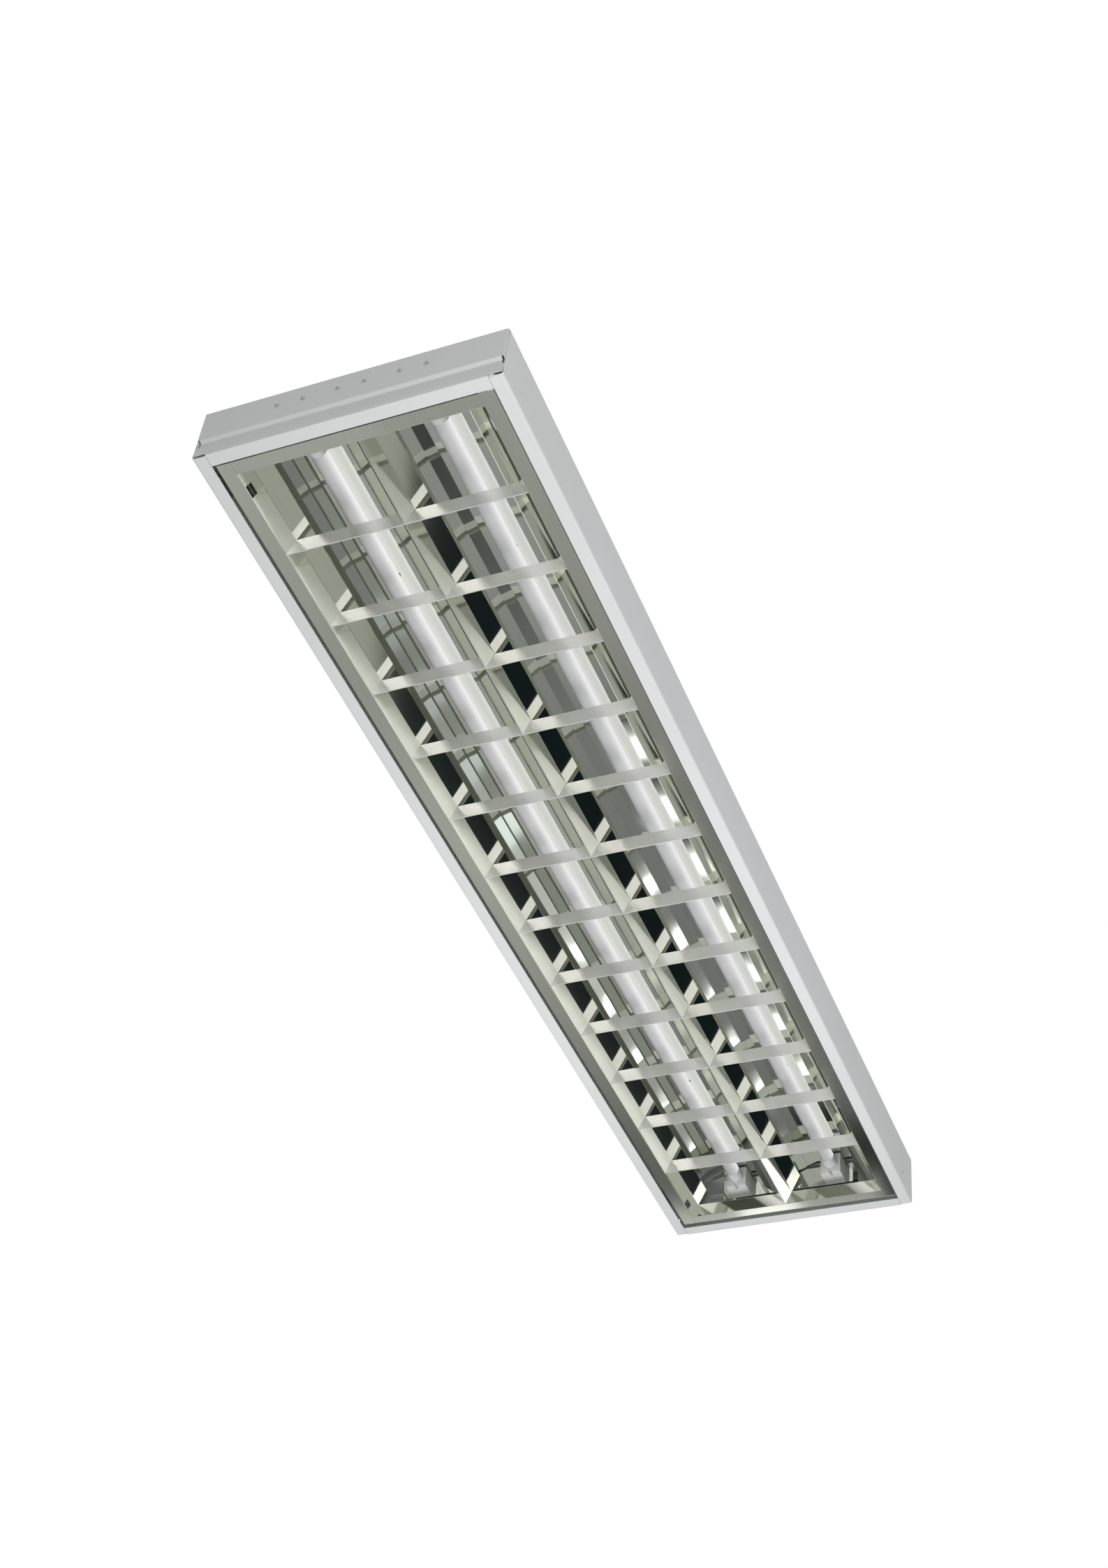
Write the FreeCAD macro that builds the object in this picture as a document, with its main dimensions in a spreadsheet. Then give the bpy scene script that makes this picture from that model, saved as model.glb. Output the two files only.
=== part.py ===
import FreeCAD, Part
import Sketcher
import os

# Surface mounted twin-tube louvre light, in millimetres.
# Origin: centre of the top face that lies against the ceiling. Z is up, X runs along the light from
# the near end to the far end, Y points to the left long side.

DOC = FreeCAD.newDocument("louvre_light")
SHEET = DOC.addObject("Spreadsheet::Sheet", "dims")

SIZES = [
    # body and end caps
    ("body_length", 1234.0),
    ("body_width", 290.0),
    ("body_height", 61.0),
    ("body_wall", 0.8),
    ("bend_radius", 2.4),
    ("side_lip", 13.0),
    ("end_lip", 13.8),
    ("end_setback", 2.2),
    ("cap_ledge_rise", 22.9),
    ("cap_ledge_in", 3.4),
    ("cap_ledge_drop", 1.5),
    ("cap_foot_in", 0.8),
    ("cap_foot_rise", 3.4),
    ("cap_top_flange", 14.0),
    ("cap_side_flange", 48.0),
    ("cap_corner_radius", 1.6),
    ("cap_lip_gap", 0.3),
    ("cap_slit", 1.5),
    ("ledge_slit", 1.8),
    ("ledge_slit_height", 8.0),
    ("fixing_end_inset", 197.0),
    ("fixing_side_inset", 25.0),
    ("fixing_hole_radius", 3.0),
    # rivets
    ("rivet_radius", 1.5),
    ("rivet_head_radius", 2.2),
    ("rivet_head_height", 0.8),
    ("rivet_tail_radius", 2.0),
    ("rivet_tail_height", 1.0),
    ("rivet_bore_radius", 0.8),
    ("rivet_bore_depth", 1.6),
    ("hole_gap", 0.05),
    ("end_rivet_half_pitch", 12.5),
    ("wall_rivet_inset", 40.0),
    # lamps and lampholders
    ("lamp_z", 17.5),
    ("lamp_end_room", 42.5),
    ("tube_radius", 8.0),
    ("tube_wall", 0.9),
    ("tube_end_inset", 8.5),
    ("lamp_cap_radius", 8.2),
    ("lamp_cap_length", 14.5),
    ("pin_radius", 1.18),
    ("pin_half_pitch", 2.375),
    ("pin_length", 7.1),
    ("holder_gap", 0.5),
    ("holder_half_width", 12.0),
    ("holder_above", 12.0),
    ("holder_below", 13.0),
    ("holder_bore_radius", 8.3),
    ("holder_bore_depth", 8.5),
    ("holder_slot", 3.4),
    ("rotor_gap", 0.08),
    ("rotor_face_gap", 0.25),
    ("rotor_slot", 2.6),
    ("rotor_slot_depth", 6.6),
    ("bracket_overlap", 21.75),
    ("bracket_depth", 22.2),
    ("bracket_web_z", 8.0),
    ("bracket_back_z", 30.0),
    ("bracket_front_z", 34.0),
    # mirror reflectors
    ("mirror_sheet", 0.55),
    ("mirror_flat_z", 3.5),
    ("mirror_flat_half", 21.7),
    ("mirror_inner_run", 11.3),
    ("mirror_inner_drop", 2.0),
    ("mirror_ridge_run", 10.65),
    ("mirror_mid_drop", 7.8),
    ("mirror_outer_slope", 0.687),
    ("mirror_overlap", 9.5),
    ("mirror_ridge_gap", 0.15),
    ("mirror_end_room", 25.0),
    ("stud_end_inset", 192.0),
    ("stud_collar_radius", 4.0),
    ("stud_radius", 1.5),
    ("stud_head_radius", 3.0),
    ("stud_head_height", 0.9),
    # louvre
    ("louvre_end_gap", 3.2),
    ("louvre_side_gap", 1.8),
    ("louvre_recess", 3.0),
    ("louvre_depth", 14.4),
    ("louvre_sheet", 0.5),
    ("louvre_edge_height", 7.5),
    ("louvre_side_flange", 13.7),
    ("panel_lean", 8.6),
    ("panel_sheet_run", 0.57),
    ("louvre_end_flange", 13.2),
    ("end_panel_lean", 2.7),
    ("blade_count", 12),
    ("end_cell_extra", 5.05),
    ("blade_edge", 0.5),
    ("blade_top", 2.7),
    ("blade_sheet", 0.45),
    ("spine_edge", 0.5),
    ("spine_top", 8.6),
    ("spine_sheet", 0.6),
    ("wing_reach", 14.7),
    ("wing_rise", 9.4),
    ("wing_sheet_rise", 0.6),
    ("fold_height", 1.5),
    ("lap_gap", 0.2),
    ("end_touch", 0.05),
    # louvre hinges and catches
    ("corner_inset", 52.0),
    ("window_half", 6.5),
    ("window_low", 1.0),
    ("window_high", 7.0),
    ("plate_half", 16.0),
    ("plate_shift", 4.0),
    ("plate_sheet", 1.0),
    ("pivot_radius", 1.5),
    ("pivot_gap", 0.05),
    ("eye_radius", 2.5),
    ("hinge_inset", 5.2),
    ("hinge_rise", 5.0),
    ("hinge_plate_rise", 16.0),
    ("hinge_plate_gap", 2.0),
    ("hinge_arm_rise", 9.5),
    ("hinge_eye_half", 4.5),
    ("ear_gap", 0.5),
    ("ear_sheet", 1.0),
    ("ear_half", 3.5),
    ("ear_rise", 2.8),
    ("edge_notch_half", 8.0),
    ("catch_inset", 7.0),
    ("catch_rise", 28.0),
    ("catch_plate_rise", 4.0),
    ("catch_plate_drop", 20.0),
    ("catch_ear_reach", 3.0),
    ("catch_ear_half", 3.5),
    ("catch_half", 5.5),
    ("catch_sheet", 0.8),
    ("catch_bridge_rise", 12.2),
    ("catch_finger_gap", 0.3),
    ("catch_finger_rise", 5.0),
    ("catch_grip_gap", 0.4),
    ("catch_grip_rise", 3.0),
    # control gear, terminals and leads
    ("gear_half_length", 180.0),
    ("gear_wall_gap", 2.6),
    ("gear_width", 16.0),
    ("gear_depth", 30.0),
    ("gear_sheet", 1.0),
    ("gear_tab", 17.0),
    ("gear_terminal_length", 8.0),
    ("gear_terminal_plug", 12.0),
    ("gear_terminal_top", 5.0),
    ("screw_radius", 1.9),
    ("screw_head_radius", 3.5),
    ("screw_head_height", 2.2),
    ("screw_tip_gap", 0.05),
    ("screw_side_gap", 0.5),
    ("block_room", 20.0),
    ("block_length", 30.0),
    ("block_width", 15.0),
    ("block_depth", 16.0),
    ("block_entry", 4.0),
    ("block_screw_radius", 2.0),
    ("block_screw_height", 1.8),
    ("earth_room", 15.0),
    ("earth_entry_in", 3.1),
    ("earth_stud_radius", 2.0),
    ("earth_nut_radius", 3.5),
    ("earth_nut_height", 2.4),
    ("lug_radius", 4.0),
    ("lug_sheet", 1.0),
    ("inlet_room", 38.0),
    ("inlet_side_inset", 17.0),
    ("inlet_bore", 6.0),
    ("inlet_hole", 10.0),
    ("inlet_flange", 13.0),
    ("inlet_flange_height", 3.0),
    ("lead_radius", 1.2),
    ("lead_bend", 6.0),
    ("lead_z", 20.0),
    ("lead_inner_in", 9.4),
    ("lead_outer_in", 4.4),
    ("lead_inner_lane", 13.0),
    ("lead_outer_lane", 9.0),
    ("lead_entry_y", 7.0),
    ("lead_entry_depth", 3.0),
    ("lead_hole_radius", 2.2),
    ("supply_z", 8.0),
    ("supply_live_in", 7.9),
    ("supply_neutral_in", 3.4),
]


def text_of(item):
    if isinstance(item, Size):
        return item.text
    return "(%r)" % float(item)


def value_of(item):
    if isinstance(item, Size):
        return item.value
    return float(item)


class Size:
    """A length held in the sheet, or worked out from lengths in the sheet."""

    def __init__(self, value, text):
        self.value = value
        self.text = text

    def __add__(self, other):
        return Size(self.value + value_of(other), "(%s + %s)" % (self.text, text_of(other)))

    def __radd__(self, other):
        return Size(value_of(other) + self.value, "(%s + %s)" % (text_of(other), self.text))

    def __sub__(self, other):
        return Size(self.value - value_of(other), "(%s - %s)" % (self.text, text_of(other)))

    def __rsub__(self, other):
        return Size(value_of(other) - self.value, "(%s - %s)" % (text_of(other), self.text))

    def __mul__(self, other):
        return Size(self.value * value_of(other), "(%s * %s)" % (self.text, text_of(other)))

    def __rmul__(self, other):
        return Size(value_of(other) * self.value, "(%s * %s)" % (text_of(other), self.text))

    def __truediv__(self, other):
        return Size(self.value / value_of(other), "(%s / %s)" % (self.text, text_of(other)))

    def __neg__(self):
        return Size(-self.value, "(0 - %s)" % self.text)


class Dims:
    """The sheet's sizes by name."""


d = Dims()
for row, (alias, number) in enumerate(SIZES, start=1):
    SHEET.set("A%d" % row, alias)
    SHEET.set("B%d" % row, str(number))
    SHEET.setAlias("B%d" % row, alias)
    setattr(d, alias, Size(float(number), "dims." + alias))
DOC.recompute()

NEAR, FAR = -1, 1
LEFT, RIGHT = 1, -1
END_NAMES = {NEAR: "near", FAR: "far"}
SIDE_NAMES = {LEFT: "left", RIGHT: "right"}
NODES = []

# Places that several pieces share, all worked out from the body's size and named gaps.
half_length = d.body_length / 2
half_width = d.body_width / 2
wall_inside = half_width - d.body_wall
flange_inside = wall_inside - d.body_wall
plate_inside = flange_inside - d.plate_sheet
cap_inside = half_length - d.body_wall
cap_ledge_z = d.body_height - d.cap_ledge_rise
channel_end = half_length - d.end_setback
bracket_front = cap_inside - d.bracket_depth
fixing_x = half_length - d.fixing_end_inset
fixing_y = half_width - d.fixing_side_inset

# Louvre panel.
louvre_half_length = half_length - d.end_lip - d.louvre_end_gap
louvre_half_width = half_width - d.side_lip - d.louvre_side_gap
louvre_bottom_z = d.body_height - d.louvre_recess
louvre_low = -louvre_bottom_z
louvre_high = louvre_low + d.louvre_depth
louvre_mid = louvre_low + d.louvre_depth / 2
wing_tip_z = louvre_high + d.wing_rise
wing_tip_top = wing_tip_z + d.wing_sheet_rise
edge_top = louvre_low + d.louvre_edge_height
edge_inside = louvre_half_width - d.louvre_sheet
panel_y = louvre_half_width - d.louvre_side_flange
panel_top_y = panel_y - d.panel_lean
end_panel_x = louvre_half_length - d.louvre_end_flange
blade_pitch = 2 * (end_panel_x - d.end_cell_extra) / (d.blade_count + 1)
first_blade = -blade_pitch * ((d.blade_count - 1) / 2)

# Hinges and catches at the louvre's corners.
corner_x = half_length - d.corner_inset
hinge_y = louvre_half_width - d.hinge_inset
hinge_z = louvre_bottom_z - d.hinge_rise
hinge_plate_top = hinge_z - d.hinge_plate_rise
hinge_plate_bottom = hinge_z - d.hinge_plate_gap
hinge_arm_z = hinge_z - d.hinge_arm_rise
ear_top_z = hinge_z - d.ear_rise
wall_rivet_x = half_length - d.wall_rivet_inset
wall_rivet_z = hinge_arm_z
catch_y = half_width - d.catch_inset
catch_z = louvre_bottom_z - d.catch_rise
catch_plate_top = catch_z - d.catch_plate_rise
catch_plate_bottom = catch_z + d.catch_plate_drop
catch_bridge_z = louvre_bottom_z - d.catch_bridge_rise
catch_finger_y = panel_y + d.catch_finger_gap
catch_finger_z = louvre_bottom_z - d.catch_finger_rise
catch_grip_z = louvre_bottom_z - d.catch_grip_rise

# Lamps and mirrors, one over each half of the louvre.
lamp_y = panel_y / 2
lamp_face = half_length - d.lamp_end_room
holder_face = lamp_face + d.holder_gap
bracket_half_width = lamp_y + d.bracket_overlap
mirror_inner_half = d.mirror_flat_half + d.mirror_inner_run
mirror_inner_z = d.mirror_flat_z + d.mirror_inner_drop
mirror_mid_half = lamp_y - d.mirror_ridge_run
mirror_mid_z = d.mirror_flat_z + d.mirror_mid_drop
mirror_back_z = -d.mirror_flat_z + d.mirror_sheet
mirror_outer_y = panel_y + d.mirror_overlap
mirror_half_length = half_length - d.mirror_end_room
stud_x = mirror_half_length - d.stud_end_inset

# Control gear, then earth stud, terminal block and cable inlet in a row beside it.
gear_outside = half_width - d.gear_wall_gap
gear_y = gear_outside - d.gear_width
gear_middle = gear_y + d.gear_width / 2
gear_face = d.gear_half_length + d.gear_terminal_length
gear_screw_x = gear_face + d.screw_head_radius + d.screw_side_gap
earth_x = d.gear_half_length + d.gear_tab + d.earth_room
block_x = earth_x + d.block_room
block_end = block_x + d.block_length
block_y = gear_outside - d.block_width
earth_y = block_y + d.earth_entry_in
inlet_x = block_end + d.inlet_room
inlet_y = half_width - d.inlet_side_inset
lead_inner_y = gear_outside - d.lead_inner_in
lead_outer_y = gear_outside - d.lead_outer_in
supply_live_y = gear_outside - d.supply_live_in
supply_neutral_y = gear_outside - d.supply_neutral_in

# Shares of the louvre's depth: half way up, and the reach of trimming cuts past its foot and its wings.
HALF_WAY = 0.5
PAST_TOP = 1.75
PAST_FOOT = -0.1


def bind(obj, name, size):
    obj.setExpression(name, text_of(size))


def origin_feature(body, role):
    for feature in body.Origin.OriginFeatures:
        if feature.Role == role:
            return feature
    raise ValueError(role)


def point(pair):
    return FreeCAD.Vector(value_of(pair[0]), value_of(pair[1]), 0)


def new_body(name):
    body = DOC.addObject("PartDesign::Body", name)
    body.Label = name
    return body


def draw(body, role, name, loops, offset=None):
    """Sketch of closed straight-sided loops whose corners are bound to the sheet."""
    sketch = body.newObject("Sketcher::SketchObject", name)
    sketch.AttachmentSupport = [(origin_feature(body, role), "")]
    sketch.MapMode = "FlatFace"
    if offset is not None:
        bind(sketch, "AttachmentOffset.Base.z", offset)
    for loop in loops:
        first = sketch.GeometryCount
        count = len(loop)
        for index in range(count):
            line = Part.LineSegment(point(loop[index]), point(loop[(index + 1) % count]))
            sketch.addGeometry(line, False)
        for index in range(count):
            follower = first + (index + 1) % count
            sketch.addConstraint(Sketcher.Constraint("Coincident", first + index, 2, follower, 1))
        for index in range(count):
            for kind, size in zip(("DistanceX", "DistanceY"), loop[index]):
                rule = Sketcher.Constraint(kind, -1, 1, first + index, 1, value_of(size))
                number = sketch.addConstraint(rule)
                if isinstance(size, Size):
                    sketch.setExpression("Constraints[%d]" % number, size.text)
    return sketch


def pad(body, sketch, length, symmetric=True, reverse=False):
    feature = body.newObject("PartDesign::Pad", sketch.Name + "_pad")
    feature.Profile = sketch
    bind(feature, "Length", length)
    feature.SideType = "Symmetric" if symmetric else "One side"
    feature.Reversed = reverse
    sketch.Visibility = False
    DOC.recompute()
    return feature


def pocket(body, sketch):
    feature = body.newObject("PartDesign::Pocket", sketch.Name + "_pocket")
    feature.Profile = sketch
    feature.Type = "ThroughAll"
    feature.SideType = "Symmetric"
    sketch.Visibility = False
    DOC.recompute()
    return feature


def round_edges(body, feature, name, edges, radius):
    fillet = body.newObject("PartDesign::Fillet", name)
    fillet.Base = (feature, edges)
    bind(fillet, "Radius", radius)
    DOC.recompute()
    return fillet


def edges_at(shape, places, axes):
    """Names of the straight edges whose two ends both lie at one of the places on the given axes."""
    names = []
    for number, edge in enumerate(shape.Edges, start=1):
        ends = [vertex.Point for vertex in edge.Vertexes]
        for place in places:
            near = [abs(end[axis] - want) < 0.001 for end in ends for axis, want in zip(axes, place)]
            if len(ends) == 2 and all(near):
                names.append("Edge%d" % number)
    return names


def place(obj, x, y, z):
    bind(obj, "Placement.Base.x", x)
    bind(obj, "Placement.Base.y", y)
    bind(obj, "Placement.Base.z", z)


def box(name, x, y, z):
    """Block between the (low, high) pairs on the three axes."""
    block = DOC.addObject("Part::Box", name)
    for side, span in zip(("Length", "Width", "Height"), (x, y, z)):
        bind(block, side, span[1] - span[0])
    place(block, x[0], y[0], z[0])
    return block


TURNS = {
    "x": FreeCAD.Rotation(FreeCAD.Vector(0, 1, 0), 90),
    "y": FreeCAD.Rotation(FreeCAD.Vector(1, 0, 0), -90),
    "z": FreeCAD.Rotation(),
}


def rod(name, axis, start, radius, length):
    """Cylinder from the start point along the positive axis."""
    cylinder = DOC.addObject("Part::Cylinder", name)
    cylinder.Placement.Rotation = TURNS[axis]
    bind(cylinder, "Radius", radius)
    bind(cylinder, "Height", length)
    place(cylinder, *start)
    return cylinder


def rod_x(name, span, y, z, radius):
    return rod(name, "x", (span[0], y, z), radius, span[1] - span[0])


def rod_z(name, x, y, span, radius):
    return rod(name, "z", (x, y, span[0]), radius, span[1] - span[0])


def mirrored(low, high, sign):
    """The (low, high) pair for a span that is measured outward on one side of the centre."""
    if sign > 0:
        return (low, high)
    return (-high, -low)


def fuse(name, shapes):
    joined = DOC.addObject("Part::MultiFuse", name)
    joined.Shapes = shapes
    joined.Refine = True
    return joined


def cut(name, base, tools):
    tool = tools[0]
    if len(tools) > 1:
        tool = DOC.addObject("Part::Compound", name + "_tools")
        tool.Links = tools
    removed = DOC.addObject("Part::Cut", name)
    removed.Base = base
    removed.Tool = tool
    removed.Refine = True
    return removed


def group(name, shapes):
    gathered = DOC.addObject("Part::Compound", name)
    gathered.Links = shapes
    return gathered


def node(obj, label):
    obj.Label = label
    NODES.append(obj)
    return obj


def rivet(name, axis, sign, at, face, grip):
    """Blind rivet along an axis: bored head outside the face, shank through the grip, tail behind it."""
    index = "xyz".index(axis)

    def span(label, low, high, radius):
        start = list(at)
        start[index] = mirrored(low, high, sign)[0]
        return rod(name + label, axis, start, radius, high - low)

    tail_end = face - grip - d.rivet_tail_height
    head = span("_head", face, face + d.rivet_head_height, d.rivet_head_radius)
    shank = span("_shank", tail_end, face + d.rivet_head_height / 2, d.rivet_radius)
    tail = span("_tail", tail_end, face - grip, d.rivet_tail_radius)
    head_end = face + d.rivet_head_height
    bore = span("_bore", head_end - d.rivet_bore_depth, head_end + d.rivet_head_height, d.rivet_bore_radius)
    return cut(name, fuse(name + "_blank", [head, shank, tail]), [bore])


def rivet_hole(name, axis, sign, at, low, high):
    index = "xyz".index(axis)
    start = list(at)
    start[index] = mirrored(low, high, sign)[0]
    return rod(name, axis, start, d.rivet_radius + d.hole_gap, high - low)


def wall_rivet_point(end):
    return [end * wall_rivet_x, 0, -wall_rivet_z]


def end_rivet_points():
    points = []
    for centre in (lamp_y, 0, -lamp_y):
        for shift in (d.end_rivet_half_pitch, -d.end_rivet_half_pitch):
            points.append([0, centre + shift, -d.lamp_z])
    return points


def make_body_channel():
    body = new_body("body_fold")
    wide, wall, high, lip = half_width, d.body_wall, d.body_height, d.side_lip
    left_half = [
        (wide, 0), (wide, -high), (wide - lip, -high), (wide - lip, wall - high),
        (wide - wall, wall - high), (wide - wall, -wall),
    ]
    outline = left_half + [(-across, level) for across, level in reversed(left_half)]
    sketch = draw(body, "YZ_Plane", "body_outline", [outline])
    folded = pad(body, sketch, 2 * channel_end)
    outer, inner = [], []
    for side in (LEFT, RIGHT):
        outer += [(side * wide.value, level) for level in (0, -high.value)]
        inner += [(side * wall_inside.value, level) for level in (-wall.value, wall.value - high.value)]
    edges = edges_at(folded.Shape, outer, (1, 2))
    rounded = round_edges(body, folded, "body_outer_bends", edges, d.bend_radius)
    edges = edges_at(rounded.Shape, inner, (1, 2))
    round_edges(body, rounded, "body_inner_bends", edges, d.bend_radius - wall)
    through = (-2 * wall, wall)
    holes = [rod_z("inlet_hole", inlet_x, inlet_y, through, d.inlet_hole + d.hole_gap)]
    for end in (NEAR, FAR):
        for side in (LEFT, RIGHT):
            name = "%s_%s" % (END_NAMES[end], SIDE_NAMES[side])
            x, y = end * fixing_x, side * fixing_y
            holes.append(rod_z("fixing_hole_" + name, x, y, through, d.fixing_hole_radius))
            at = wall_rivet_point(end)
            low, high_side = wall_inside - wall, half_width + wall
            holes.append(rivet_hole("wall_hole_" + name, "y", side, at, low, high_side))
        x = end * gear_screw_x
        radius = d.screw_radius + d.hole_gap
        holes.append(rod_z("gear_hole_" + END_NAMES[end], x, gear_middle, through, radius))
    node(cut("body_channel", body, holes), "body_channel")


def make_end_cap(end):
    name = "end_cap_" + END_NAMES[end]
    wall, high = d.body_wall, d.body_height

    def at(inset, level):
        return (end * (half_length - inset), level)

    body = new_body(name + "_fold")
    foot = d.cap_foot_rise - high
    ledge = -cap_ledge_z - d.cap_ledge_drop
    profile = [
        at(d.cap_top_flange, -wall), at(0, -wall), at(0, -cap_ledge_z), at(d.cap_ledge_in, ledge),
        at(d.cap_foot_in, foot), at(d.cap_foot_in, -high), at(d.end_lip, -high),
        at(d.end_lip, wall - high),
        at(d.cap_foot_in + wall, wall - high), at(d.cap_foot_in + wall, foot),
        at(d.cap_ledge_in + wall, ledge + wall / 2), at(wall, wall / 2 - cap_ledge_z),
        at(wall, -2 * wall), at(d.cap_top_flange, -2 * wall),
    ]
    face = pad(body, draw(body, "XZ_Plane", name + "_profile", [profile]), 2 * wall_inside)
    for side in (LEFT, RIGHT):
        flange = [
            at(0, -wall), at(0, -cap_ledge_z), at(d.cap_ledge_in + wall, ledge),
            at(d.cap_ledge_in + wall, foot), at(d.cap_side_flange, foot), at(d.cap_side_flange, -wall),
        ]
        label = "%s_flange_%s" % (name, SIDE_NAMES[side])
        sketch = draw(body, "XZ_Plane", label, [flange], -side * wall_inside)
        face = pad(body, sketch, wall, symmetric=False, reverse=(side == RIGHT))
    corner = [(end * half_length.value, side * wall_inside.value) for side in (1, -1)]
    edges = edges_at(face.Shape, corner, (0, 1))
    round_edges(body, face, name + "_corners", edges, d.cap_corner_radius)
    tools = []
    for side in (LEFT, RIGHT):
        across = mirrored(half_width - d.side_lip - d.cap_lip_gap, half_width, side)
        along = mirrored(half_length - 2 * d.end_lip, half_length + wall, end)
        level = (-2 * high, wall + d.cap_slit - high)
        tools.append(box("%s_lip_notch_%s" % (name, SIDE_NAMES[side]), along, across, level))
        bend = d.bend_radius - wall + d.cap_lip_gap
        relief_along = mirrored(half_length - 2 * d.cap_side_flange, channel_end + d.cap_lip_gap, end)
        relief_across = mirrored(wall_inside - bend, half_width, side)
        label = "%s_relief_%s" % (name, SIDE_NAMES[side])
        tools.append(box(label, relief_along, relief_across, (-wall - bend, wall)))
        hole = rivet_hole("%s_wall_hole_%s" % (name, SIDE_NAMES[side]), "y", side, wall_rivet_point(end),
                          flange_inside - wall, wall_inside + wall)
        tools.append(hole)
        slit_along = mirrored(half_length - d.cap_ledge_in - 2 * wall, half_length + wall, end)
        slit_across = mirrored(flange_inside - d.ledge_slit, flange_inside, side)
        slit_level = (wall - cap_ledge_z - d.ledge_slit_height, wall - cap_ledge_z)
        label = "%s_ledge_slit_%s" % (name, SIDE_NAMES[side])
        tools.append(box(label, slit_along, slit_across, slit_level))
    for number, spot in enumerate(end_rivet_points()):
        label = "%s_hole_%d" % (name, number)
        tools.append(rivet_hole(label, "x", end, spot, cap_inside - wall, half_length + wall))
    node(cut(name, body, tools), name)


def make_holder_bracket(end):
    name = "holder_bracket_" + END_NAMES[end]
    wall = d.body_wall

    def at(depth, level):
        return (end * (cap_inside - depth), -level)

    body = new_body(name + "_fold")
    deep = d.bracket_depth
    profile = [
        at(0, d.bracket_back_z), at(0, d.bracket_web_z), at(deep, d.bracket_web_z),
        at(deep, d.bracket_front_z),
        at(deep - wall, d.bracket_front_z), at(deep - wall, d.bracket_web_z + wall),
        at(wall, d.bracket_web_z + wall), at(wall, d.bracket_back_z),
    ]
    pad(body, draw(body, "XZ_Plane", name + "_profile", [profile]), 2 * bracket_half_width)
    tools = []
    for number, spot in enumerate(end_rivet_points()):
        label = "%s_hole_%d" % (name, number)
        tools.append(rivet_hole(label, "x", end, spot, cap_inside - 2 * wall, half_length))
    for side in (LEFT, RIGHT):
        span = mirrored(bracket_front - wall, bracket_front + 2 * wall, end)
        label = "%s_lead_hole_%s" % (name, SIDE_NAMES[side])
        entry_y = side * lamp_y + d.lead_entry_y
        tools.append(rod_x(label, span, entry_y, -d.lead_z, d.lead_hole_radius))
    node(cut(name, body, tools), name)


def make_rivets():
    ends = []
    for end in (NEAR, FAR):
        for number, spot in enumerate(end_rivet_points()):
            label = "end_rivet_%s_%d" % (END_NAMES[end], number)
            ends.append(rivet(label, "x", end, spot, half_length, 2 * d.body_wall))
    node(group("end_rivets", ends), "end_rivets")
    walls = []
    for end in (NEAR, FAR):
        for side in (LEFT, RIGHT):
            label = "wall_rivet_%s_%s" % (END_NAMES[end], SIDE_NAMES[side])
            grip = 2 * d.body_wall + d.plate_sheet
            walls.append(rivet(label, "y", side, wall_rivet_point(end), half_width, grip))
    node(group("wall_rivets", walls), "wall_rivets")


def make_lampholder(end, side):
    name = "lampholder_%s_%s" % (SIDE_NAMES[side], END_NAMES[end])
    axis_y, axis_z = side * lamp_y, -d.lamp_z
    across = (axis_y - d.holder_half_width, axis_y + d.holder_half_width)
    block = box(name + "_block", mirrored(holder_face, bracket_front, end), across,
                (axis_z - d.holder_below, axis_z + d.holder_above))
    bore_span = mirrored(holder_face - d.holder_gap, holder_face + d.holder_bore_depth, end)
    bore = rod_x(name + "_bore", bore_span, axis_y, axis_z, d.holder_bore_radius)
    slot = box(name + "_slot", bore_span, (axis_y - d.holder_slot / 2, axis_y + d.holder_slot / 2),
               (axis_z - 2 * d.holder_below, axis_z))
    entry_low = bracket_front - d.lead_entry_depth - d.lap_gap
    entry_span = mirrored(entry_low, bracket_front + d.body_wall, end)
    entry_y = axis_y + d.lead_entry_y
    lead_hole = rod_x(name + "_lead_hole", entry_span, entry_y, -d.lead_z, d.lead_radius + d.hole_gap)
    node(cut(name, block, [bore, slot, lead_hole]), name)


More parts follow.
